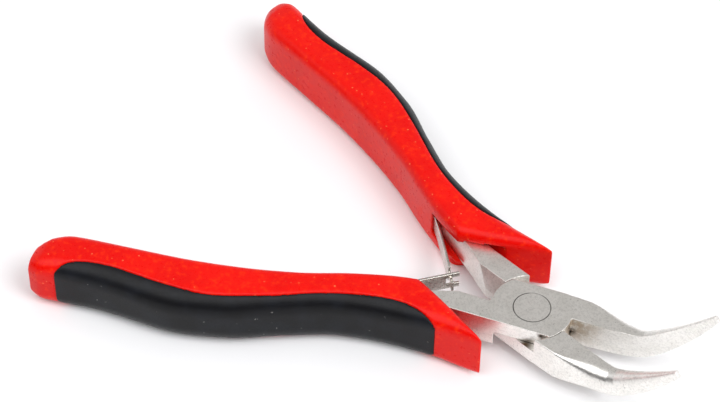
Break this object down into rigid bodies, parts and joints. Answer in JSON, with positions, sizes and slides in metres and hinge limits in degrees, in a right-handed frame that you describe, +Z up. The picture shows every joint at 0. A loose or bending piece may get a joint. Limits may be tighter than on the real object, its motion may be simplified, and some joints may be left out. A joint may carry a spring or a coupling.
{
  "type": "bent-nose pliers",
  "caption": "Small spring-loaded bent-nose pliers with a lap joint, upturned tapering jaws and two-colour cushioned handles.",
  "frame": {"origin": "on the table, under the middle of the outline of the open tool", "axes": "+X along the tool's centre line towards the jaw tips, +Y towards half B's handle, +Z up, the way the jaws are bent"},
  "size_m": [0.1228, 0.0896, 0.0215],
  "materials": {
    "satin_steel": "satin nickel-plated forged steel",
    "rivet_steel": "ground flush",
    "spring_steel": "bright rolled strip",
    "red_plastic": "semi-gloss moulded",
    "black_rubber": "soft satin"
  },
  "bodies": {
    "half_a": {"forging_a": "satin_steel", "grip_shell_a": "red_plastic", "soft_insert_a": "black_rubber", "leaf_root_a": "spring_steel", "spring_rivet_a": "rivet_steel", "pivot_rivet": "rivet_steel"},
    "half_b": {"forging_b": "satin_steel", "grip_shell_b": "red_plastic", "soft_insert_b": "black_rubber", "leaf_root_b": "spring_steel", "spring_rivet_b": "rivet_steel"},
    "leaf_a": {"leaf_blade_a": "spring_steel"},
    "leaf_b": {"leaf_blade_b": "spring_steel"}
  },
  "joints": [
    {"name": "pivot", "type": "hinge", "parent": "half_a", "child": "half_b", "pos_m": [0.02661, 0, 0.0063], "axis": [0, 0, 1], "range_deg": [0, 24.2], "stiffness_Nm_per_rad": 0.6},
    {"name": "leaf_a_bend", "type": "hinge", "parent": "half_a", "child": "leaf_a", "pos_m": [0.00032, -0.00906, 0.0063], "axis": [0, 0, 1], "range_deg": [-20.5, 0]},
    {"name": "leaf_b_bend", "type": "hinge", "parent": "half_b", "child": "leaf_b", "pos_m": [0.00032, 0.00906, 0.0063], "axis": [0, 0, 1], "range_deg": [0, 20.5]}
  ],
  "couplings": [
    {"joint": "leaf_a_bend", "follows": "pivot", "ratio": -0.818},
    {"joint": "leaf_b_bend", "follows": "pivot", "ratio": 0.818}
  ]
}
